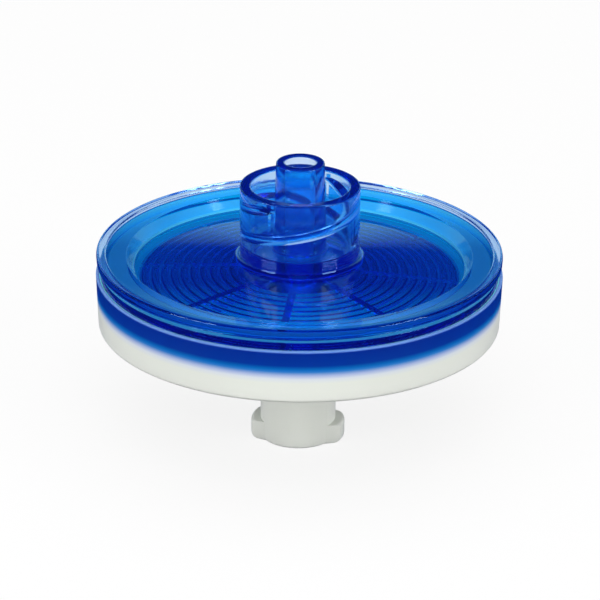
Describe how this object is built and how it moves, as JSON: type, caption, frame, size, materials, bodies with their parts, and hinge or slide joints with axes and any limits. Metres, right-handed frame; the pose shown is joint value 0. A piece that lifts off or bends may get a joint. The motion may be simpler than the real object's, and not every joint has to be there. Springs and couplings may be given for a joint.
{
  "type": "syringe filter",
  "caption": "Disposable syringe filter: a round flat housing with a male Luer-lock outlet in a threaded collar above and a lugged female Luer hub below.",
  "frame": {"origin": "centre of the hub's open end, on the surface that the filter stands on", "axes": "+Z along the flow axis from the inlet hub up to the outlet tip, +X to the right and +Y to the back"},
  "size_m": [0.0334, 0.0334, 0.0244],
  "materials": {
    "outlet_shell": "clear blue moulded plastic, polished",
    "inlet_shell": "natural translucent moulded plastic, satin",
    "membrane": "matt white microporous film"
  },
  "bodies": {
    "root": {"outlet_shell": "outlet_shell", "inlet_shell": "inlet_shell", "membrane": "membrane"}
  },
  "joints": []
}
